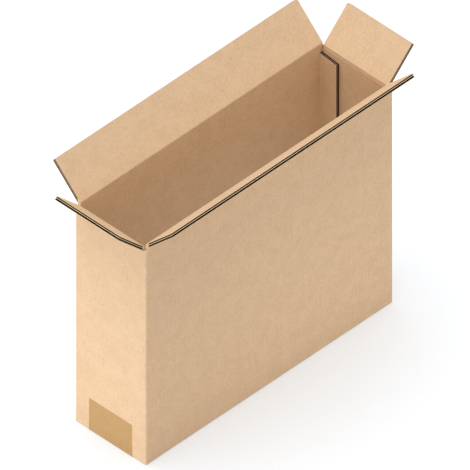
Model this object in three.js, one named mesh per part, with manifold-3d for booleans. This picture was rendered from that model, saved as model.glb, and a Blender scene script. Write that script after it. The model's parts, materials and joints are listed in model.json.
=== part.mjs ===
// A corrugated shipping box, standing open. One sheet of double-wall board is folded into four walls, a
// closed bottom and four top flaps, and a strip of packing tape holds the bottom shut. The top flaps lean
// outwards and each one turns about its crease, so each is a mesh of its own.
//
// Millimetres, +Z up. X runs along the long walls, Y across the box, and the origin is the middle of the
// underside, on the floor.

import * as THREE from 'three';
import { mergeVertices } from 'three/addons/utils/BufferGeometryUtils.js';
import Module from 'manifold-3d';

// Box, measured over the outside of its walls
const boxLength = 437.5;
const boxWidth = 123.25;
const endCreaseHeight = 349.0; // of the end flaps' hinge lines, above the underside of the board
const cornerRadius = 2.6; // outside of the upright folds
const bottomFoldRadius = 2.0; // outside of the folds round the underside

// Board: three liners with a wavy medium glued between each pair, the coarser wave outside
const liner = 0.35;
const outerFlute = 2.45;
const innerFlute = 1.75;
const outerPitch = 6.3;
const innerPitch = 5.0;
const medium = 0.3; // paper of the waves
const fluteDepth = 5.0; // how deep the open cells of a cut edge are modelled
const grooveDepth = 1.6; // of the open layers along an edge that runs with the waves
const edgeMargin = 1.2; // board left beside the last cell of a row

// Top flaps
const flapLean = 45; // degrees outwards from upright, as the flaps stand
const meetingGap = 1.0; // between the tips of the long flaps when both are shut
const flapCornerRadius = 1.6;
const slotInset = 4.3; // each end of a long flap, in from the outside of the end wall
const endFlapClearance = 0.4; // each side of an end flap, to the long wall it drops beside
const stackClearance = 0.3; // between a shut end flap and the long flap lying on it
const hingeClearance = 0.3; // across the mitre of each top crease
const cornerDrop = 0.4; // top of the corner posts, below the end flaps' hinge lines

// Glue tab, folded from the back wall and glued inside the right end wall
const tabWidth = 29.5;
const tabRake = 6; // degrees that its top and bottom are cut back by
const tabTopClearance = 0.45; // to the shut end flap above it
const tabFootClearance = 2.5; // to the bottom end flap under it

// Bottom flaps
const bottomSeam = 1.0; // between the two long flaps
const bottomLayGap = 0.3; // between an end flap and the long flaps it lies on
const stepRun = 6.5; // length over which an end flap steps up onto the long flaps
const stepClearance = 0.6; // from that step to the cut ends of the long flaps

// Packing tape over the bottom seam and up both end walls
const tapeWidth = 75;
const tapeThickness = 0.25;
const tapeRise = 52; // how far it runs up each end wall
const tapeBendRadius = 1.2; // inside of its bends

const arcSteps = 5;
const overcut = 1; // how far a cutter reaches past the face it opens

// Sizes that follow from those above
const board = 3 * liner + outerFlute + innerFlute;
const halfLength = boxLength / 2;
const halfWidth = boxWidth / 2;
const innerHalfLength = halfLength - board;
const innerHalfWidth = halfWidth - board;
const underside = tapeThickness;
const endHinge = underside + endCreaseHeight;
const longHinge = endHinge + board + stackClearance;
const flapReach = (boxWidth - meetingGap) / 2;
const longFlapWidth = boxLength - 2 * slotInset;
const endFlapWidth = 2 * (innerHalfWidth - endFlapClearance);
const mitreLift = (hingeClearance / 2) * Math.SQRT2; // a mitre face moved off the hinge line, measured upright

// The two waves of the board, each from its outer liner face to its inner one, measured from the outside
const waves = [
  { near: liner, far: liner + outerFlute, pitch: outerPitch },
  { near: board - liner - innerFlute, far: board - liner, pitch: innerPitch },
];

const wasm = await Module();
wasm.setup();

// A closed three.js geometry as a solid that can be joined and cut
function solidOf(geometry) {
  const bare = geometry.clone();
  bare.deleteAttribute('normal');
  bare.deleteAttribute('uv');
  const merged = mergeVertices(bare);
  const mesh = new wasm.Mesh({
    numProp: 3,
    vertProperties: merged.attributes.position.array,
    triVerts: new Uint32Array(merged.index.array),
  });
  return new wasm.Manifold(mesh);
}

// A solid back as a three.js geometry
function geometryOf(solid) {
  const mesh = solid.getMesh();
  const geometry = new THREE.BufferGeometry();
  geometry.setAttribute('position', new THREE.BufferAttribute(mesh.vertProperties, 3));
  geometry.setIndex(new THREE.BufferAttribute(mesh.triVerts, 1));
  geometry.computeVertexNormals();
  return geometry;
}

function joined(solids) {
  return solids.reduce((whole, next) => whole.add(next));
}

function shapeOf(points) {
  return new THREE.Shape(points.map(([u, v]) => new THREE.Vector2(u, v)));
}

function extruded(shape, length) {
  return new THREE.ExtrudeGeometry(shape, { depth: length, bevelEnabled: false, curveSegments: arcSteps });
}

// An outline in X and Y, raised from one height to another
function risen(shape, from, to) {
  const geometry = extruded(shape, to - from);
  geometry.translate(0, 0, from);
  return solidOf(geometry);
}

// A section in Y and Z, carried along X
function alongX(shape, from, to) {
  const geometry = extruded(shape, to - from);
  const turn = new THREE.Matrix4();
  turn.makeBasis(new THREE.Vector3(0, 1, 0), new THREE.Vector3(0, 0, 1), new THREE.Vector3(1, 0, 0));
  geometry.applyMatrix4(turn);
  geometry.translate(from, 0, 0);
  return solidOf(geometry);
}

// A section in X and Z, carried along Y
function alongY(shape, from, to) {
  const geometry = extruded(shape, to - from);
  const turn = new THREE.Matrix4();
  turn.makeBasis(new THREE.Vector3(1, 0, 0), new THREE.Vector3(0, 0, 1), new THREE.Vector3(0, -1, 0));
  geometry.applyMatrix4(turn);
  geometry.translate(0, to, 0);
  return solidOf(geometry);
}

function block(x0, x1, y0, y1, z0, z1) {
  const geometry = new THREE.BoxGeometry(x1 - x0, y1 - y0, z1 - z0);
  geometry.translate((x0 + x1) / 2, (y0 + y1) / 2, (z0 + z1) / 2);
  return solidOf(geometry);
}

// The triangles that a zigzag medium leaves open between two liners, over a stretch centred on zero.
// Each is three points of distance along the edge and depth into the board.
function fluteCells(stretch, wave) {
  const half = wave.pitch / 2;
  const height = wave.far - wave.near;
  const slope = Math.atan2(height, half);
  const sideInset = medium / 2 / Math.sin(slope);
  const tipInset = medium / 2 / Math.cos(slope);
  const count = Math.floor((stretch - 2 * edgeMargin) / half) - 1;
  const cells = [];
  for (let index = 0; index < count; index += 1) {
    const middle = (index - (count - 1) / 2) * half;
    const [base, tip] = index % 2 ? [wave.far, wave.near + tipInset] : [wave.near, wave.far - tipInset];
    cells.push([[middle - half + sideInset, base], [middle + half - sideInset, base], [middle, tip]]);
  }
  return cells;
}

// A flap in its own frame: the hinge line is the X axis, the outer face is Y = 0, the inner face is
// Y = board, and Z runs from the hinge to the tip. The root is mitred so that the flap can shut.
function flapSolid(width) {
  const section = [[0, mitreLift], [0, flapReach], [board, flapReach], [board, board + mitreLift]];
  const plate = alongX(shapeOf(section), -width / 2, width / 2);

  const half = width / 2;
  const outline = new THREE.Shape();
  outline.moveTo(-half, -overcut);
  outline.lineTo(half, -overcut);
  outline.lineTo(half, flapReach - flapCornerRadius);
  outline.absarc(half - flapCornerRadius, flapReach - flapCornerRadius, flapCornerRadius, 0, Math.PI / 2);
  outline.absarc(-half + flapCornerRadius, flapReach - flapCornerRadius, flapCornerRadius, Math.PI / 2, Math.PI);
  const trimmed = plate.intersect(alongY(outline, -overcut, board + overcut));

  const cuts = [];
  for (const wave of waves) {
    for (const cell of fluteCells(width - 2 * grooveDepth, wave)) {
      cuts.push(risen(shapeOf(cell), flapReach - fluteDepth, flapReach + overcut));
    }
    for (const side of [-1, 1]) {
      const [x0, x1] = side > 0 ? [half - grooveDepth, half + overcut] : [-half - overcut, -half + grooveDepth];
      cuts.push(block(x0, x1, wave.near, wave.far, -overcut, flapReach + overcut));
    }
  }
  return trimmed.subtract(wasm.Manifold.compose(cuts));
}

// Plan of the walls over the outside. At the back right corner the end wall's cut edge shows beside the
// round fold of the glue tab.
function outerPlan() {
  const x = halfLength - cornerRadius;
  const y = halfWidth - cornerRadius;
  const foldX = innerHalfLength - cornerRadius;
  const plan = new THREE.Shape();
  plan.absarc(-x, -y, cornerRadius, Math.PI, 1.5 * Math.PI);
  plan.absarc(x, -y, cornerRadius, 1.5 * Math.PI, 2 * Math.PI);
  plan.lineTo(halfLength, halfWidth);
  plan.lineTo(innerHalfLength, halfWidth);
  plan.absarc(foldX, y, cornerRadius, 0, Math.PI / 2);
  plan.absarc(-x, y, cornerRadius, Math.PI / 2, Math.PI);
  return plan;
}

// Takes the sharp corner off a fold along the underside. The section is drawn for a face at outward
// distance reach, and side says which way is out.
function foldCutter(reach, side) {
  const points = [[side * (reach + overcut), underside - overcut]];
  for (let step = 0; step <= arcSteps; step += 1) {
    const angle = (step / arcSteps) * (Math.PI / 2);
    const inward = bottomFoldRadius * (1 - Math.sin(angle));
    points.push([side * (reach - inward), underside + bottomFoldRadius * (1 - Math.cos(angle))]);
  }
  points.splice(1, 0, [side * (reach - bottomFoldRadius), underside - overcut]);
  points.push([side * (reach + overcut), underside + bottomFoldRadius]);
  return shapeOf(points);
}

// Everything above the mitre of a wall whose hinge line is at outward distance reach
function mitreCutter(reach, hinge, side) {
  const inner = reach - board - overcut;
  const drop = board + overcut;
  const points = [
    [side * (reach + overcut), hinge - mitreLift + overcut],
    [side * inner, hinge - mitreLift - drop],
    [side * inner, longHinge + overcut],
    [side * (reach + overcut), longHinge + overcut],
  ];
  return shapeOf(points);
}

function walls() {
  const plan = outerPlan();
  const inside = shapeOf([
    [-innerHalfLength, -innerHalfWidth],
    [innerHalfLength, -innerHalfWidth],
    [innerHalfLength, innerHalfWidth],
    [-innerHalfLength, innerHalfWidth],
  ]);
  plan.holes.push(inside);
  const tube = risen(plan, underside, longHinge);

  const cuts = [];
  const cornerTop = endHinge - cornerDrop;
  const slot = longFlapWidth / 2;
  const top = longHinge + overcut;
  for (const side of [-1, 1]) {
    cuts.push(alongX(mitreCutter(halfWidth, longHinge, side), -slot, slot));
    cuts.push(alongY(mitreCutter(halfLength, endHinge, side), -innerHalfWidth, innerHalfWidth));
    const [x0, x1] = side > 0 ? [slot, halfLength + overcut] : [-halfLength - overcut, -slot];
    cuts.push(block(x0, x1, -halfWidth - overcut, halfWidth + overcut, cornerTop, top));
  }
  return cuts.reduce((solid, cut) => solid.subtract(cut), tube);
}

// One long bottom flap reaches from its wall to the middle seam
function longBottomFlap(side) {
  const end = halfLength - board - stepRun - stepClearance;
  const [y0, y1] = side > 0 ? [bottomSeam / 2, halfWidth - board / 2] : [-halfWidth + board / 2, -bottomSeam / 2];
  return block(-end, end, y0, y1, underside, underside + board);
}

// An end bottom flap folds in from its wall, steps up, and lies on the long flaps
function endBottomFlap(side) {
  const rise = board + bottomLayGap;
  const slope = Math.atan2(rise, stepRun);
  const lean = board / Math.cos(slope); // thickness of the sloping stretch, measured upright
  const shift = board * Math.tan(slope / 2); // where its top face turns level
  const step = [
    [board / 2, 0],
    [board, 0],
    [board + stepRun, rise],
    [flapReach, rise],
    [flapReach, rise + board],
    [board + stepRun - shift, rise + board],
    [board / 2, lean - (board / 2) * Math.tan(slope)],
  ];
  const points = step.map(([inward, up]) => [side * (halfLength - inward), underside + up]);
  return alongY(shapeOf(points), -endFlapWidth / 2, endFlapWidth / 2);
}

// The tab lies on the end wall's inner face, with its root in the back wall
function glueTab() {
  const free = innerHalfWidth - tabWidth;
  const root = innerHalfWidth + board / 2;
  const cutBack = tabWidth * Math.tan(THREE.MathUtils.degToRad(tabRake));
  const top = endHinge - board - tabTopClearance;
  const foot = underside + 2 * board + bottomLayGap + tabFootClearance;
  const section = [
    [free, foot + cutBack],
    [innerHalfWidth, foot],
    [root, foot],
    [root, top],
    [innerHalfWidth, top],
    [free, top - cutBack],
  ];
  const sheet = alongX(shapeOf(section), innerHalfLength - board, halfLength - board / 2);

  const middle = innerHalfWidth - tabWidth / 2;
  const cuts = [];
  for (const wave of waves) {
    for (const cell of fluteCells(tabWidth - 2 * grooveDepth, wave)) {
      const across = cell.map(([along, depth]) => [innerHalfLength - depth, middle + along]);
      cuts.push(risen(shapeOf(across), top - cutBack - fluteDepth, top + overcut));
    }
    const [x0, x1] = [innerHalfLength - wave.far, innerHalfLength - wave.near];
    cuts.push(block(x0, x1, free - overcut, free + grooveDepth, foot - overcut, top + overcut));
  }
  return sheet.subtract(wasm.Manifold.compose(cuts));
}

// The open layers along the end wall's cut edge at the back right corner
function cutEdgeGrooves() {
  const grooves = waves.map((wave) => block(
    halfLength - wave.far,
    halfLength - wave.near,
    halfWidth - grooveDepth,
    halfWidth + overcut,
    underside - overcut,
    longHinge + overcut,
  ));
  return wasm.Manifold.compose(grooves);
}

function cartonBody() {
  const sheet = joined([
    walls(),
    glueTab(),
    longBottomFlap(-1),
    longBottomFlap(1),
    endBottomFlap(-1),
    endBottomFlap(1),
  ]);
  const folds = joined([-1, 1].flatMap((side) => [
    alongX(foldCutter(halfWidth, side), -halfLength - overcut, halfLength + overcut),
    alongY(foldCutter(halfLength, side), -halfWidth - overcut, halfWidth + overcut),
  ]));
  return sheet.subtract(folds).subtract(cutEdgeGrooves());
}

// Under the box and up both ends, bent round the folds
function tapeStrip() {
  const outerX = halfLength + tapeThickness;
  const outerBend = tapeBendRadius + tapeThickness;
  const innerX = halfLength - tapeBendRadius;
  const top = underside + tapeRise;
  const bendHeight = underside + tapeBendRadius;
  const strip = new THREE.Shape();
  strip.moveTo(-outerX, top);
  strip.absarc(-outerX + outerBend, outerBend, outerBend, Math.PI, 1.5 * Math.PI);
  strip.absarc(outerX - outerBend, outerBend, outerBend, 1.5 * Math.PI, 2 * Math.PI);
  strip.lineTo(outerX, top);
  strip.lineTo(halfLength, top);
  strip.absarc(innerX, bendHeight, tapeBendRadius, 2 * Math.PI, 1.5 * Math.PI, true);
  strip.absarc(-innerX, bendHeight, tapeBendRadius, 1.5 * Math.PI, Math.PI, true);
  strip.lineTo(-halfLength, top);
  return alongY(strip, -tapeWidth / 2, tapeWidth / 2);
}

const boardPaper = { color: 0xd9b78c, roughness: 0.85, metalness: 0 };
const tapePaper = { color: 0xcda873, roughness: 0.45, metalness: 0 };

function piece(name, solid, finish) {
  const mesh = new THREE.Mesh(geometryOf(solid), new THREE.MeshStandardMaterial(finish));
  mesh.name = name;
  return mesh;
}

// A flap leaning out from its hinge line. The turn about Z takes the front wall's place to the right wall.
function standingFlap(name, width, reach, hinge, quarterTurns) {
  const flap = piece(name, flapSolid(width), boardPaper);
  flap.position.set(0, -reach, hinge);
  flap.rotation.x = THREE.MathUtils.degToRad(flapLean);
  const side = new THREE.Group();
  side.rotation.z = quarterTurns * (Math.PI / 2);
  side.add(flap);
  return side;
}

const box = new THREE.Group();
box.name = 'shipping_box';
box.add(piece('carton_body', cartonBody(), boardPaper));
box.add(piece('bottom_tape', tapeStrip(), tapePaper));
box.add(standingFlap('front_long_flap', longFlapWidth, halfWidth, longHinge, 0));
box.add(standingFlap('right_end_flap', endFlapWidth, halfLength, endHinge, 1));
box.add(standingFlap('back_long_flap', longFlapWidth, halfWidth, longHinge, 2));
box.add(standingFlap('left_end_flap', endFlapWidth, halfLength, endHinge, 3));

export default box;
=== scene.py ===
# %% [markdown]
# # A shipping box, standing open
# This lesson dresses a corrugated shipping box. Its walls, its bottom and its tape come from the
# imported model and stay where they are. What a model of solids can't show is made here: the board of
# the four top flaps, which is three sheets of paper with two wavy sheets glued between them, and the
# soft bend at each top crease.

# %% Load the box
import json
import math
import bmesh
import bpy
from mathutils import Matrix, Vector


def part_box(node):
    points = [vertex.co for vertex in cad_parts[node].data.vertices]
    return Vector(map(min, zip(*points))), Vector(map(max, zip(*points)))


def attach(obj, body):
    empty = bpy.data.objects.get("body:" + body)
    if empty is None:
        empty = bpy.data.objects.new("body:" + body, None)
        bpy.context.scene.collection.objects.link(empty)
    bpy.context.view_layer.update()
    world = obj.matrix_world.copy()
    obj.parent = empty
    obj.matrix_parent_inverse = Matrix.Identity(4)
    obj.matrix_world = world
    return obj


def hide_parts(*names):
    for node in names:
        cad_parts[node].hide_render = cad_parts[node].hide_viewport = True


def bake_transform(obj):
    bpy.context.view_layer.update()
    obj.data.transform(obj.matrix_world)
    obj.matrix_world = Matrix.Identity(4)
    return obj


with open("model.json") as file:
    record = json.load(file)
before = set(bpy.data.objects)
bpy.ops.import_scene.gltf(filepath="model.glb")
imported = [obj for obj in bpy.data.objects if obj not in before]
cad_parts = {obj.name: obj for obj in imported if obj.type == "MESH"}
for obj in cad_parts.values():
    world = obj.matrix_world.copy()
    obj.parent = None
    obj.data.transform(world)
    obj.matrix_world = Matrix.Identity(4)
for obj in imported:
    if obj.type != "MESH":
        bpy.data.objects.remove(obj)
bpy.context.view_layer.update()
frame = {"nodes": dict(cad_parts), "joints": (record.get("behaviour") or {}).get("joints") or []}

MM = 0.001

# %% [markdown]
# The sizes are read from the model where it holds them. The walls give the outside of the box, each
# hinge gives the height of its crease, and a flap's own box gives its width and reach. Only the build
# of the board is written here, as a paper mill would give it, in millimetres.

# %% Sizes
wall_low, wall_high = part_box("carton_body")
HALF_LENGTH = (wall_high.x - wall_low.x) / 2
HALF_WIDTH = (wall_high.y - wall_low.y) / 2
HINGES = {joint["child"]: joint for joint in frame["joints"]}

LINER = 0.35 * MM
OUTER_WAVE = 2.45 * MM
INNER_WAVE = 1.75 * MM
OUTER_PITCH = 6.3 * MM
INNER_PITCH = 5.0 * MM
WAVE_PAPER = 0.3 * MM
BOARD = 3 * LINER + OUTER_WAVE + INNER_WAVE
LEAN = math.radians(45)
MITRE_GAP = 0.15 * math.sqrt(2) * MM
print(f"board {BOARD / MM:.2f} mm, box {2 * HALF_LENGTH / MM:.1f} x {2 * HALF_WIDTH / MM:.1f} mm")

# %% [markdown]
# A few helpers for work with operators. An operator acts on all that is selected, so each piece is made
# with nothing else selected.


# %% Helpers
def pick(*pieces):
    """Selects these pieces and nothing else, and makes the first of them the active one."""
    bpy.ops.object.select_all(action="DESELECT")
    for piece in pieces:
        piece.select_set(True)
    if pieces:
        bpy.context.view_layer.objects.active = pieces[0]


def settle(piece):
    """Puts a piece's place into its mesh, so that its object sits unturned at the origin."""
    pick(piece)
    bpy.ops.object.transform_apply(location=True, rotation=True, scale=True)


def join(pieces, name):
    pick(*pieces)
    bpy.ops.object.join()
    pieces[0].name = name
    return pieces[0]


# %% [markdown]
# ## Kraft paper
# Kraft liner is brown paper with long fibres. Close up it has a cloudy ground, fine fibres that run
# with the paper machine and a few darker specks, and the waves glued behind it show as faint ribs.
# One node group makes all of that, so that every sheet of the box shares it. The helpers come first: a
# new group with its sockets, a step of arithmetic, a noise pattern and a mix of two colours.


# %% Helpers for shader nodes
def new_group(name, inputs, outputs):
    group = bpy.data.node_groups.new(name, "ShaderNodeTree")
    for label, kind, value in inputs:
        socket = group.interface.new_socket(label, in_out="INPUT", socket_type=kind)
        socket.default_value = value
    for label, kind in outputs:
        group.interface.new_socket(label, in_out="OUTPUT", socket_type=kind)
    return group, group.nodes.new("NodeGroupInput"), group.nodes.new("NodeGroupOutput")


def maths(tree, operation, first, second=None, clamp=False):
    node = tree.nodes.new("ShaderNodeMath")
    node.operation = operation
    node.use_clamp = clamp
    for index, value in enumerate((first, second)):
        if value is None:
            continue
        if isinstance(value, (int, float)):
            node.inputs[index].default_value = value
        else:
            tree.links.new(value, node.inputs[index])
    return node.outputs[0]


def pattern(tree, vector, scale, detail, roughness, low, high):
    """A noise that rises softly from 0 to 1 between a low and a high value of its own."""
    noise = tree.nodes.new("ShaderNodeTexNoise")
    noise.inputs["Scale"].default_value = scale
    noise.inputs["Detail"].default_value = detail
    noise.inputs["Roughness"].default_value = roughness
    tree.links.new(vector, noise.inputs["Vector"])
    rise = tree.nodes.new("ShaderNodeMapRange")
    rise.interpolation_type = "SMOOTHSTEP"
    rise.inputs["From Min"].default_value = low
    rise.inputs["From Max"].default_value = high
    tree.links.new(noise.outputs["Fac"], rise.inputs["Value"])
    return rise.outputs["Result"]


def blend_colour(tree, amount, first, second):
    node = tree.nodes.new("ShaderNodeMix")
    node.data_type = "RGBA"
    tree.links.new(amount, node.inputs["Factor"])
    for socket, value in ((node.inputs["A"], first), (node.inputs["B"], second)):
        if isinstance(value, tuple):
            socket.default_value = value
        else:
            tree.links.new(value, socket)
    return node.outputs["Result"]


# %% [markdown]
# The paper is four noises of different sizes, and a sine for the ribs. Each noise is given by its scale,
# its detail, its roughness and the two values between which it rises. The fibres and specks are drawn
# out along Z, which is upright on the walls.

# %% A node group for kraft paper
CLOUD = (48, 4, 0.65, 0.34, 0.68)
GRAIN = (260, 3, 0.65, 0.3, 0.72)
FIBRE = (900, 2, 0.55, 0.32, 0.7)
SPECK = (520, 1, 0.4, 0.70, 0.76)
FIBRE_STRETCH = (1, 1, 0.5)
ON_END_WALL = 0.6
LINER_RIBS = 0.03
PAPER_SMOOTHEST = 0.78
FIBRE_ROUGHNESS = 0.12
GRAIN_HEIGHT = 0.35
FIBRE_HEIGHT = 0.45
RIB_HEIGHT = 0.4


def kraft_group():
    """Cloudy ground, fibres, specks and the faint ribs of the waves behind the paper."""
    tree, given, result = new_group(
        "Kraft paper",
        [
            ("Paper", "NodeSocketColor", (0.7, 0.5, 0.33, 1)),
            ("Shade", "NodeSocketColor", (0.55, 0.38, 0.24, 1)),
            ("Cloudiness", "NodeSocketFloat", 0.16),
            ("Fibres", "NodeSocketFloat", 0.2),
            ("Specks", "NodeSocketFloat", 0.5),
            ("Ribs", "NodeSocketFloat", LINER_RIBS),
            ("Rib Pitch", "NodeSocketFloat", OUTER_PITCH),
            ("Hollow", "NodeSocketFloat", 0.0),
            ("Painted Hollow Shade", "NodeSocketColor", (0.05, 0.035, 0.02, 1)),
        ],
        [("Colour", "NodeSocketColor"), ("Roughness", "NodeSocketFloat"), ("Height", "NodeSocketFloat")],
    )
    place = tree.nodes.new("ShaderNodeTexCoord")
    spot = place.outputs["Object"]

    stretched = tree.nodes.new("ShaderNodeMapping")
    stretched.inputs["Scale"].default_value = FIBRE_STRETCH
    tree.links.new(spot, stretched.inputs["Vector"])

    cloud = pattern(tree, spot, *CLOUD)
    grain = pattern(tree, spot, *GRAIN)
    fibre = pattern(tree, stretched.outputs["Vector"], *FIBRE)
    speck = pattern(tree, stretched.outputs["Vector"], *SPECK)

    # The waves run upright, so the ribs step along the wall: along X on a long wall, along Y on an end.
    axes = tree.nodes.new("ShaderNodeSeparateXYZ")
    tree.links.new(spot, axes.inputs[0])
    facing = tree.nodes.new("ShaderNodeSeparateXYZ")
    tree.links.new(place.outputs["Normal"], facing.inputs[0])
    on_end = maths(tree, "GREATER_THAN", maths(tree, "ABSOLUTE", facing.outputs["X"]), ON_END_WALL)
    on_long = maths(tree, "SUBTRACT", 1.0, on_end)
    along_long = maths(tree, "MULTIPLY", axes.outputs["X"], on_long)
    along_end = maths(tree, "MULTIPLY", axes.outputs["Y"], on_end)
    along = maths(tree, "ADD", along_long, along_end)
    turns = maths(tree, "DIVIDE", along, given.outputs["Rib Pitch"])
    ripple = maths(tree, "SINE", maths(tree, "MULTIPLY", turns, 2 * math.pi))
    rib = maths(tree, "ADD", maths(tree, "MULTIPLY", ripple, 0.5), 0.5)

    shares = [(cloud, "Cloudiness"), (fibre, "Fibres"), (grain, "Fibres"), (rib, "Ribs"), (speck, "Specks")]
    layers = [maths(tree, "MULTIPLY", mask, given.outputs[label]) for mask, label in shares]
    shading = layers[0]
    for layer in layers[1:]:
        shading = maths(tree, "ADD", shading, layer, clamp=True)
    colour = blend_colour(tree, shading, given.outputs["Paper"], given.outputs["Shade"])
    # The Hollow input paints shade: it turns the colour dark where a cut edge's hollows lie.
    colour = blend_colour(tree, given.outputs["Hollow"], colour, given.outputs["Painted Hollow Shade"])
    tree.links.new(colour, result.inputs["Colour"])

    rough = maths(tree, "ADD", maths(tree, "MULTIPLY", fibre, FIBRE_ROUGHNESS), PAPER_SMOOTHEST)
    tree.links.new(rough, result.inputs["Roughness"])
    raised_grain = maths(tree, "MULTIPLY", grain, GRAIN_HEIGHT)
    raised_fibre = maths(tree, "MULTIPLY", fibre, FIBRE_HEIGHT)
    raised_rib = maths(tree, "MULTIPLY", rib, RIB_HEIGHT)
    height = maths(tree, "ADD", maths(tree, "ADD", raised_grain, raised_fibre), raised_rib)
    tree.links.new(height, result.inputs["Height"])
    return tree


KRAFT = kraft_group()
print("kraft paper group:", len(KRAFT.nodes), "nodes")

# %% [markdown]
# Each material places that group with values of its own. The liner is the smooth face sheet. The waves are
# a coarser paper, coloured near black as painted shade, since what shows of them lies deep in the cut edge.

# %% Helpers for materials
def srgb(red, green, blue):
    """A colour as a screen shows it, 0 to 255, as the plain numbers that a shader takes."""
    parts = [value / 255 for value in (red, green, blue)]
    linear = [part / 12.92 if part <= 0.04045 else ((part + 0.055) / 1.055) ** 2.4 for part in parts]
    return (*linear, 1.0)


def new_material(name):
    material = bpy.data.materials.new(name)
    material.use_nodes = True
    tree = material.node_tree
    return material, tree, tree.nodes["Principled BSDF"]


def add_relief(tree, shader, height, strength, depth):
    relief = tree.nodes.new("ShaderNodeBump")
    relief.inputs["Strength"].default_value = strength
    relief.inputs["Distance"].default_value = depth
    tree.links.new(height, relief.inputs["Height"])
    tree.links.new(relief.outputs["Normal"], shader.inputs["Normal"])


# %% Paper
PAPER_COLOUR = srgb(238, 206, 169)
PAPER_SHADE = srgb(202, 165, 125)
# Painted shade for the upward step of the crease strips, so that it reads like the wall below.
STEP_PAINTED_SHADE_COLOUR = srgb(190, 158, 124)
STEP_PAINTED_SHADE_DARK = srgb(165, 135, 104)
# The wave paper's near-black colour is painted shade: it stands for the shade deep in the flutes.
WAVE_PAINTED_SHADE = srgb(58, 42, 29)
WAVE_PAINTED_SHADE_DARK = srgb(36, 26, 18)
PAPER_SHEEN = 0.25
PAPER_BUMP = 0.25
PAPER_DEPTH = 0.12 * MM


def paper(name, colour, shade, ribs=LINER_RIBS):
    material, tree, shader = new_material(name)
    shader.inputs["Specular IOR Level"].default_value = PAPER_SHEEN
    kraft = tree.nodes.new("ShaderNodeGroup")
    kraft.node_tree = KRAFT
    kraft.name = "kraft paper"
    for label, value in (("Paper", colour), ("Shade", shade), ("Ribs", ribs)):
        kraft.inputs[label].default_value = value
    tree.links.new(kraft.outputs["Colour"], shader.inputs["Base Color"])
    tree.links.new(kraft.outputs["Roughness"], shader.inputs["Roughness"])
    add_relief(tree, shader, kraft.outputs["Height"], PAPER_BUMP, PAPER_DEPTH)
    return material


BOARD_FACE = paper("board face", PAPER_COLOUR, PAPER_SHADE)
STEP_PAINTED_SHADE = paper("step painted shade", STEP_PAINTED_SHADE_COLOUR, STEP_PAINTED_SHADE_DARK)
WAVE_SHEET_PAINTED_SHADE = paper("wavy sheet", WAVE_PAINTED_SHADE, WAVE_PAINTED_SHADE_DARK, ribs=0.0)

# %% [markdown]
# The tape is a thin tan film. It has faint streaks along its length, which is X, and it shines a little
# more than the paper. Its noises are given as those of the paper are.

# %% Tape
TAPE_COLOUR = srgb(196, 157, 103)
TAPE_SHADE = srgb(184, 145, 93)
TAPE_STREAK = (420, 3, 0.6, 0.3, 0.72)
TAPE_CLOUD = (60, 3, 0.5, 0.3, 0.7)
STREAK_STRETCH = (0.12, 1, 0.12)
STREAK_SHARE = 0.35
CLOUD_SHARE = 0.4
TAPE_SMOOTHEST = 0.38
STREAK_ROUGHNESS = 0.15
TAPE_BUMP = 0.2
TAPE_DEPTH = 0.08 * MM


def tape_material():
    material, tree, shader = new_material("packing tape")
    place = tree.nodes.new("ShaderNodeTexCoord")
    long_way = tree.nodes.new("ShaderNodeMapping")
    long_way.inputs["Scale"].default_value = STREAK_STRETCH
    tree.links.new(place.outputs["Object"], long_way.inputs["Vector"])
    streak = pattern(tree, long_way.outputs["Vector"], *TAPE_STREAK)
    cloud = pattern(tree, place.outputs["Object"], *TAPE_CLOUD)
    streak_share = maths(tree, "MULTIPLY", streak, STREAK_SHARE)
    cloud_share = maths(tree, "MULTIPLY", cloud, CLOUD_SHARE)
    amount = maths(tree, "ADD", streak_share, cloud_share)
    colour = blend_colour(tree, amount, TAPE_COLOUR, TAPE_SHADE)
    rough = maths(tree, "ADD", maths(tree, "MULTIPLY", streak, STREAK_ROUGHNESS), TAPE_SMOOTHEST)
    tree.links.new(colour, shader.inputs["Base Color"])
    tree.links.new(rough, shader.inputs["Roughness"])
    add_relief(tree, shader, amount, TAPE_BUMP, TAPE_DEPTH)
    return material


def dress(node, material):
    slots = frame["nodes"][node].data.materials
    slots.clear()
    slots.append(material)


TAPE = tape_material()
dress("bottom_tape", TAPE)
print("materials:", [material.name for material in (BOARD_FACE, STEP_PAINTED_SHADE, WAVE_SHEET_PAINTED_SHADE, TAPE)])

# %% [markdown]
# ## The cut edges of the walls
# Where the blank was cut, the walls show their layers: along the glue tab, and at the end wall's edge
# beside it. The model has hollows there already. What they lack is the shade of the wavy paper deep inside
# them, so a second node group marks the space that the waves fill, and the walls' material is painted dark
# inside it as painted shade.
# The places are worked out from the walls and the board, with a skin of a few hundredths of a
# millimetre, so that the mask takes in the faces of the hollows themselves. The tab's width is written
# here as the model has it, because no box of a node gives it.

# %% A node group that marks the layers of a cut edge
LAYERS = [
    (LINER, LINER + OUTER_WAVE),
    (BOARD - LINER - INNER_WAVE, BOARD - LINER),
]
TAB_WIDTH = 29.5 * MM
SKIN = 0.04 * MM
EDGE_REACH = 6.0 * MM
# Painted shade for the hollows of the cut edges.
HOLLOW_PAINTED_SHADE = srgb(52, 38, 26)
INSIDE_X = HALF_LENGTH - BOARD
INSIDE_Y = HALF_WIDTH - BOARD


def within(tree, value, low, high):
    above = maths(tree, "GREATER_THAN", value, low)
    below = maths(tree, "LESS_THAN", value, high)
    return maths(tree, "MULTIPLY", above, below)


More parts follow.
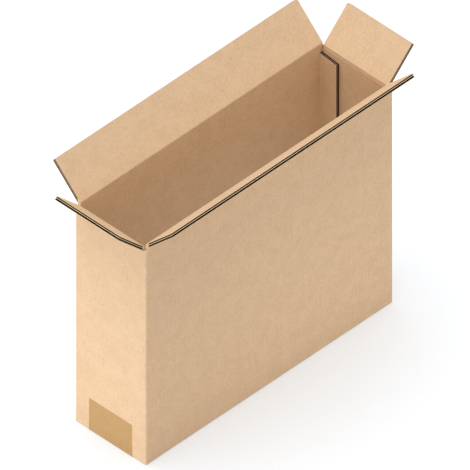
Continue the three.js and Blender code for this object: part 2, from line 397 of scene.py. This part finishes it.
def cut_edge_group():
    tree, _, result = new_group("Cut edge of board", [], [("Mask", "NodeSocketFloat")])
    place = tree.nodes.new("ShaderNodeTexCoord")
    axes = tree.nodes.new("ShaderNodeSeparateXYZ")
    tree.links.new(place.outputs["Object"], axes.inputs[0])
    x = axes.outputs["X"]
    y = axes.outputs["Y"]
    found = []
    for near, far in LAYERS:
        in_tab_layer = within(tree, x, INSIDE_X - far - SKIN, INSIDE_X - near + SKIN)
        on_tab = within(tree, y, INSIDE_Y - TAB_WIDTH - SKIN, INSIDE_Y)
        in_wall_layer = within(tree, x, HALF_LENGTH - far - SKIN, HALF_LENGTH - near + SKIN)
        at_wall_edge = within(tree, y, HALF_WIDTH - EDGE_REACH, HALF_WIDTH + SKIN)
        found.append(maths(tree, "MULTIPLY", in_tab_layer, on_tab))
        found.append(maths(tree, "MULTIPLY", in_wall_layer, at_wall_edge))
    mask = found[0]
    for other in found[1:]:
        mask = maths(tree, "MAXIMUM", mask, other)
    tree.links.new(mask, result.inputs["Mask"])
    return tree


def wall_material():
    material = paper("board wall", PAPER_COLOUR, PAPER_SHADE)
    tree = material.node_tree
    kraft = tree.nodes["kraft paper"]
    cut = tree.nodes.new("ShaderNodeGroup")
    cut.node_tree = cut_edge_group()
    kraft.inputs["Painted Hollow Shade"].default_value = HOLLOW_PAINTED_SHADE
    tree.links.new(cut.outputs["Mask"], kraft.inputs["Hollow"])
    return material


dress("carton_body", wall_material())

# %% [markdown]
# ## The flaps
# A cut edge of corrugated board shows three straight lines of paper and two rows of waves with dark
# hollows between them. A texture could fake that from one side only, so the flap is built as the mill
# builds the board: three flat sheets, and two sheets pressed into waves that run from crease to tip.
# Each flap is first made upright at the origin, hinge along X, outer face at Y = 0, and tip up.


# %% A flat liner sheet
TIP_ROUND = 1.6 * MM
TIP_STEPS = 4
LIP = 0.3 * MM
FACING = 0.5


def liner_sheet(width, reach, outer_face, thickness, hidden_ways):
    """A flat sheet. What looks into the board is painted dark as painted shade, up to a narrow lip under
    the tip.
    """
    pick()
    bpy.ops.mesh.primitive_cube_add(size=1, location=(0, outer_face + thickness / 2, reach / 2))
    sheet = bpy.context.object
    sheet.scale = (width, thickness, reach)
    settle(sheet)
    bpy.ops.object.mode_set(mode="EDIT")
    bpy.ops.mesh.select_all(action="DESELECT")
    shape = bmesh.from_edit_mesh(sheet.data)
    for edge in shape.edges:
        tops = [vert.co.z > reach - LIP for vert in edge.verts]
        across = abs(edge.verts[0].co.y - edge.verts[1].co.y) > thickness / 2
        edge.select_set(all(tops) and across)
    bmesh.update_edit_mesh(sheet.data)
    bpy.ops.mesh.bevel(offset=TIP_ROUND, segments=TIP_STEPS)
    bpy.ops.mesh.select_all(action="SELECT")
    bpy.ops.mesh.bisect(plane_co=(0, 0, reach - LIP), plane_no=(0, 0, 1))
    bpy.ops.object.mode_set(mode="OBJECT")
    sheet.data.materials.append(BOARD_FACE)
    sheet.data.materials.append(WAVE_SHEET_PAINTED_SHADE)
    # Faces that look into the board get the wave paper's painted shade.
    for face in sheet.data.polygons:
        hidden = any(face.normal.y * way > FACING for way in hidden_ways)
        face.material_index = int(hidden and face.center.z < reach - LIP)
    return sheet


# %% A wavy sheet
STEPS_PER_WAVE = 10
SIDE_HOLLOW = 1.0 * MM
TIP_HOLLOW = 1.0 * MM


def wavy_sheet(width, reach, outer_face, height, pitch):
    """A grid of one row, pressed into waves by a sine, and given its thickness. A cut along the waves
    always shows the flank of the last one, so the sheet ends in a steep flank on each side."""
    span = width - 2 * SIDE_HOLLOW
    steps = round(span / pitch * STEPS_PER_WAVE)
    pick()
    bpy.ops.mesh.primitive_grid_add(x_subdivisions=steps, y_subdivisions=1, size=1)
    sheet = bpy.context.object
    swing = (height - WAVE_PAPER) / 2
    middle = outer_face + height / 2
    top = reach - TIP_HOLLOW
    for vert in sheet.data.vertices:
        column = round((vert.co.x + 0.5) * steps)
        x = vert.co.x * span
        z = (vert.co.y + 0.5) * top
        swell = math.sin(2 * math.pi * x / pitch)
        if column in (0, steps):
            swell = -1
        if column in (1, steps - 1):
            x = math.copysign(span / 2 - WAVE_PAPER, x)
            swell = 1
        vert.co = (x, middle + swing * swell, z)
    thick = sheet.modifiers.new("paper", "SOLIDIFY")
    thick.thickness = WAVE_PAPER
    thick.offset = 0
    pick(sheet)
    bpy.ops.object.modifier_apply(modifier=thick.name)
    sheet.data.materials.append(WAVE_SHEET_PAINTED_SHADE)
    return sheet


# %% [markdown]
# The sheets are stacked and joined. The root is then cut off slanting with the bisect operator, as the
# crease squeezes the board there, and the flap is leant out and carried to its wall. The middle sheet is
# a little thicker than the outer two, as the waves are glued to both its sides, and its line shows.


# %% The slanting root
def mitre_root(flap):
    pick(flap)
    bpy.ops.object.mode_set(mode="EDIT")
    bpy.ops.mesh.select_all(action="SELECT")
    bpy.ops.mesh.bisect(
        plane_co=(0, 0, MITRE_GAP),
        plane_no=(0, 1, -1),
        use_fill=True,
        clear_outer=True,
    )
    bpy.ops.mesh.select_all(action="SELECT")
    bpy.ops.mesh.normals_make_consistent(inside=False)
    bpy.ops.object.mode_set(mode="OBJECT")


# %% Where each flap goes
FLAPS = [
    ("front_long_flap", "front_flap", 0),
    ("right_end_flap", "right_flap", 1),
    ("back_long_flap", "back_flap", 2),
    ("left_end_flap", "left_flap", 3),
]


def wall_place(body, quarter_turns):
    """Turns a piece made at the origin to its wall, and moves it to the wall's crease."""
    hinge = Vector(HINGES[body]["pos_m"])
    turn = Matrix.Rotation(quarter_turns * math.pi / 2, 4, "Z")
    return Matrix.Translation(hinge) @ turn


def flap_width(node):
    low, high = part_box(node)
    return max(high.x - low.x, high.y - low.y)


def flap_reach(node, body):
    """From crease to tip. A node that leans at 45 degrees rises (reach + board) / root 2 over its hinge."""
    low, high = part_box(node)
    hinge_height = HINGES[body]["pos_m"][2]
    return (high.z - hinge_height) / math.cos(LEAN) - BOARD


# %% A flap from its sheets
MIDDLE_EXTRA = 0.18 * MM


def build_flap(node, body, quarter_turns):
    width = flap_width(node)
    reach = flap_reach(node, body)
    second = LINER + OUTER_WAVE - MIDDLE_EXTRA
    second_end = second + LINER + 2 * MIDDLE_EXTRA
    third = BOARD - LINER
    sheets = [
        liner_sheet(width, reach, 0, LINER, [1]),
        wavy_sheet(width, reach, LINER, second - LINER, OUTER_PITCH),
        liner_sheet(width, reach, second, second_end - second, [-1, 1]),
        wavy_sheet(width, reach, second_end, third - second_end, INNER_PITCH),
        liner_sheet(width, reach, third, LINER, [-1]),
    ]
    flap = join(sheets, node.replace("_flap", "_board"))
    mitre_root(flap)
    flap.data.transform(wall_place(body, quarter_turns) @ Matrix.Rotation(LEAN, 4, "X"))
    flap.data.update()
    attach(flap, body)
    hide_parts(node)
    print(f"{flap.name}: {width / MM:.1f} x {reach / MM:.1f} mm, {len(flap.data.polygons)} faces")


for row in FLAPS:
    build_flap(*row)

# %% [markdown]
# ## The creases
# Between wall and flap the real board is pressed thin and bends, and its inner paper runs round the bend
# without a break. In the solids this place is an open groove, which lets the flap shut. A soft strip fills
# the groove here. At the ends it stands a millimetre back from the inside, because a shut long flap lies
# down on that spot. The narrow step there looks straight up and takes more light, so it is given a darker
# colour: painted shade that evens it with the wall.

# %% The outline of a crease strip
CREASE_STEPS = 6
CREASE_ROUND = 1.4 * MM
CREASE_TURN = 1.2 * MM
CREASE_INSET = 0.1 * MM
END_FOOT = 1.05 * MM
END_CORNER = 1.6 * MM
FLAP_WAY = Vector((-math.sin(LEAN), math.cos(LEAN)))
FLAP_ACROSS = Vector((math.cos(LEAN), math.sin(LEAN)))
MIDDLE_WAY = Vector((-math.sin(LEAN / 2), math.cos(LEAN / 2)))


def crease_section(at_end):
    """The strip's outline at rest, as distance in from the outer face and height over the hinge, and
    how far along the middle way its turning begins and ends."""
    face = BOARD - CREASE_INSET / 4
    bend = face * math.tan(LEAN / 2)
    outline = [Vector((CREASE_INSET, -MITRE_GAP)), Vector((face, -face - MITRE_GAP))]
    if at_end:
        foot = Vector((face - END_FOOT, -CREASE_INSET))
        corner = Vector((face - END_CORNER, bend + END_CORNER))
        outline.append(Vector((face, -CREASE_INSET)))
        outline += [foot.lerp(corner, step / CREASE_STEPS) for step in range(CREASE_STEPS + 1)]
        turning = (foot.dot(MIDDLE_WAY), corner.dot(MIDDLE_WAY))
    else:
        corner = Vector((face, bend))
        before = corner - Vector((0, CREASE_ROUND))
        after = corner + FLAP_WAY * CREASE_ROUND
        for step in range(CREASE_STEPS + 1):
            t = step / CREASE_STEPS
            outline.append(before.lerp(corner, t).lerp(corner.lerp(after, t), t))
        turning = (-CREASE_TURN, CREASE_TURN)
    outline.append(FLAP_ACROSS * face + FLAP_WAY * (face + MITRE_GAP))
    outline.append(FLAP_ACROSS * CREASE_INSET + FLAP_WAY * MITRE_GAP)
    return outline, turning


# %% Crease strips
FACES_UP = 0.9


def crease_strip(node, body, quarter_turns):
    width = flap_width(node)
    outline, turning = crease_section("end" in node)
    pick()
    bpy.ops.mesh.primitive_circle_add(vertices=len(outline), radius=BOARD, fill_type="NGON")
    strip = bpy.context.object
    strip.name = node.replace("_flap", "_crease")
    for vert, (inward, up) in zip(strip.data.vertices, outline):
        vert.co = (-width / 2, inward, up)
    bpy.ops.object.mode_set(mode="EDIT")
    bpy.ops.mesh.select_all(action="SELECT")
    bpy.ops.mesh.extrude_region_move(TRANSFORM_OT_translate={"value": (width, 0, 0)})
    bpy.ops.mesh.select_all(action="SELECT")
    bpy.ops.mesh.normals_make_consistent(inside=False)
    bpy.ops.object.mode_set(mode="OBJECT")
    settle(strip)
    strip.data.materials.append(BOARD_FACE)
    strip.data.materials.append(STEP_PAINTED_SHADE)
    # Faces that look straight up get painted shade, so the lit step reads like the wall.
    for face in strip.data.polygons:
        face.material_index = int(face.normal.z > FACES_UP)
    wall = wall_place(body, quarter_turns)
    strip.data.transform(wall)
    strip.data.update()
    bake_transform(strip)
    return strip


creases = [crease_strip(*row) for row in FLAPS]
print("creases:", [strip.name for strip in creases])

# %% [markdown]
# ## Floor, light and camera
# The box stands on a white ground with a soft shadow. The floor adds some light of its own where the
# camera sees it, which lifts it to white, while its plain surface still takes the shadow. That surface
# is a touch blue, which evens out the warm light that the board throws on it.

# %% Floor
FLOOR_SIZE = 12.0
FLOOR_GLOW = 0.42
FLOOR_GREY = (0.78, 0.78, 0.78, 1)
FLOOR_SEEN = (0.60, 0.634, 0.670, 1)


def floor_material():
    """A plain grey for the light that goes from the floor to the box, and a lifted one for the camera."""
    material, tree, _ = new_material("white ground")
    tree.nodes.clear()
    out = tree.nodes.new("ShaderNodeOutputMaterial")
    plain = tree.nodes.new("ShaderNodeBsdfDiffuse")
    plain.inputs["Color"].default_value = FLOOR_GREY
    seen = tree.nodes.new("ShaderNodeBsdfDiffuse")
    seen.inputs["Color"].default_value = FLOOR_SEEN
    glow = tree.nodes.new("ShaderNodeEmission")
    glow.inputs["Strength"].default_value = FLOOR_GLOW
    lifted = tree.nodes.new("ShaderNodeAddShader")
    tree.links.new(seen.outputs[0], lifted.inputs[0])
    tree.links.new(glow.outputs[0], lifted.inputs[1])
    path = tree.nodes.new("ShaderNodeLightPath")
    switch = tree.nodes.new("ShaderNodeMixShader")
    tree.links.new(path.outputs["Is Camera Ray"], switch.inputs["Fac"])
    tree.links.new(plain.outputs[0], switch.inputs[1])
    tree.links.new(lifted.outputs[0], switch.inputs[2])
    tree.links.new(switch.outputs[0], out.inputs["Surface"])
    return material


pick()
bpy.ops.mesh.primitive_plane_add(size=FLOOR_SIZE, location=(0, 0, 0))
floor = bpy.context.object
floor.name = "ground"
floor.data.materials.append(floor_material())

# %% [markdown]
# The brightest face in the photo is the end wall, and it grows brighter towards the floor. The long wall
# is darkest at its upper left. So a lamp stands low down at the end of the box, and a weaker one low down
# in front of its right half. The inside is even and not deep brown, so a weak wide lamp lies against the
# inside of the front wall and lights the back wall. A wide soft sun and an even sky light the rest.

# %% Sky and sun
SKY = 0.55
SEEN_SKY = 1.0
SUN = 1.80
SUN_FROM = Vector((-0.10, 0.15, 0.95))
SUN_SOFTNESS = math.radians(60)

world = bpy.data.worlds.new("studio")
bpy.context.scene.world = world
world.use_nodes = True
sky_tree = world.node_tree
sky = sky_tree.nodes["Background"]
sky.inputs["Color"].default_value = (1, 1, 1, 1)
sky.inputs["Strength"].default_value = SKY
seen_sky = sky_tree.nodes.new("ShaderNodeBackground")
seen_sky.inputs["Strength"].default_value = SEEN_SKY
sky_path = sky_tree.nodes.new("ShaderNodeLightPath")
sky_switch = sky_tree.nodes.new("ShaderNodeMixShader")
sky_tree.links.new(sky_path.outputs["Is Camera Ray"], sky_switch.inputs["Fac"])
sky_tree.links.new(sky.outputs[0], sky_switch.inputs[1])
sky_tree.links.new(seen_sky.outputs[0], sky_switch.inputs[2])
sky_tree.links.new(sky_switch.outputs[0], sky_tree.nodes["World Output"].inputs["Surface"])

sun_lamp = bpy.data.lights.new("sun", "SUN")
sun_lamp.energy = SUN
sun_lamp.angle = SUN_SOFTNESS
sun = bpy.data.objects.new("sun", sun_lamp)
sun.rotation_euler = SUN_FROM.to_track_quat("Z", "Y").to_euler()
bpy.context.scene.collection.objects.link(sun)

# %% [markdown]
# The small lamps are for the box alone, so that the ground keeps an even shadow all round. The one
# inside is a little blue, which takes back some of the red that the light gathers between the walls.

# %% Small lamps
not_lit = bpy.data.collections.new("lit by sun and sky only")
not_lit.objects.link(floor)
not_lit.collection_objects[0].light_linking.link_state = "EXCLUDE"


def soft_lamp(name, place, target, size, power, colour=(1, 1, 1)):
    """A lamp, its size as (width, height), turned from its place to a target. Its power is in watts."""
    data = bpy.data.lights.new(name, "AREA")
    data.shape = "RECTANGLE"
    data.size, data.size_y = size
    data.energy = power
    data.color = colour
    lamp = bpy.data.objects.new(name, data)
    lamp.location = place
    lamp.rotation_euler = (Vector(place) - Vector(target)).to_track_quat("Z", "Y").to_euler()
    lamp.visible_camera = False
    lamp.light_linking.receiver_collection = not_lit
    bpy.context.scene.collection.objects.link(lamp)
    return lamp


end_lamp = soft_lamp(
    "end lamp",
    place=(-0.70, 0.05, 0.02),
    target=(-0.2, 0.0, 0.06),
    size=(0.3, 0.3),
    power=1.75,
)
front_lamp = soft_lamp(
    "front lamp",
    place=(0.12, -0.42, 0.02),
    target=(0.10, 0.0, 0.0),
    size=(0.5, 0.15),
    power=0.40,
)

INSIDE_LAMP_GAP = 2 * MM
INSIDE_LAMP_HEIGHT = 0.15
inside_lamp = soft_lamp(
    "inside lamp",
    place=(0, INSIDE_LAMP_GAP - INSIDE_Y, INSIDE_LAMP_HEIGHT),
    target=(0, 0, INSIDE_LAMP_HEIGHT),
    size=(0.40, 0.26),
    power=0.085,
    colour=(0.75, 1.12, 1.35),
)
print("lamps:", [lamp.name for lamp in (sun, end_lamp, front_lamp, inside_lamp)])

# %% [markdown]
# The photo is a parallel view: its edges stay parallel. The camera looks down at 40.7 degrees, with the
# long wall turned 45.5 degrees away, and its frame is as wide as the photo's at the box's real scale.

# %% Camera
HEADING = math.radians(45.5)
ELEVATION = math.radians(40.68)
MM_PER_PIXEL = 1.2417
PHOTO_SIZE = 470
AIM_RIGHT = 1.08 * MM
AIM_UP = 157.0 * MM
CAMERA_DISTANCE = 3.0

right = Vector((math.cos(HEADING), -math.sin(HEADING), 0))
level_back = Vector((-math.sin(HEADING), -math.cos(HEADING), 0))
back = level_back * math.cos(ELEVATION) + Vector((0, 0, math.sin(ELEVATION)))
up = back.cross(right)
camera_data = bpy.data.cameras.new("camera")
camera_data.type = "ORTHO"
camera_data.ortho_scale = MM_PER_PIXEL * PHOTO_SIZE * MM
camera = bpy.data.objects.new("camera", camera_data)
stand = right * AIM_RIGHT + up * AIM_UP + back * CAMERA_DISTANCE
camera.matrix_world = Matrix(
    (
        (right.x, up.x, back.x, stand.x),
        (right.y, up.y, back.y, stand.y),
        (right.z, up.z, back.z, stand.z),
        (0, 0, 0, 1),
    )
)
bpy.context.scene.collection.objects.link(camera)
bpy.context.scene.camera = camera
bpy.context.scene.view_settings.view_transform = "Standard"
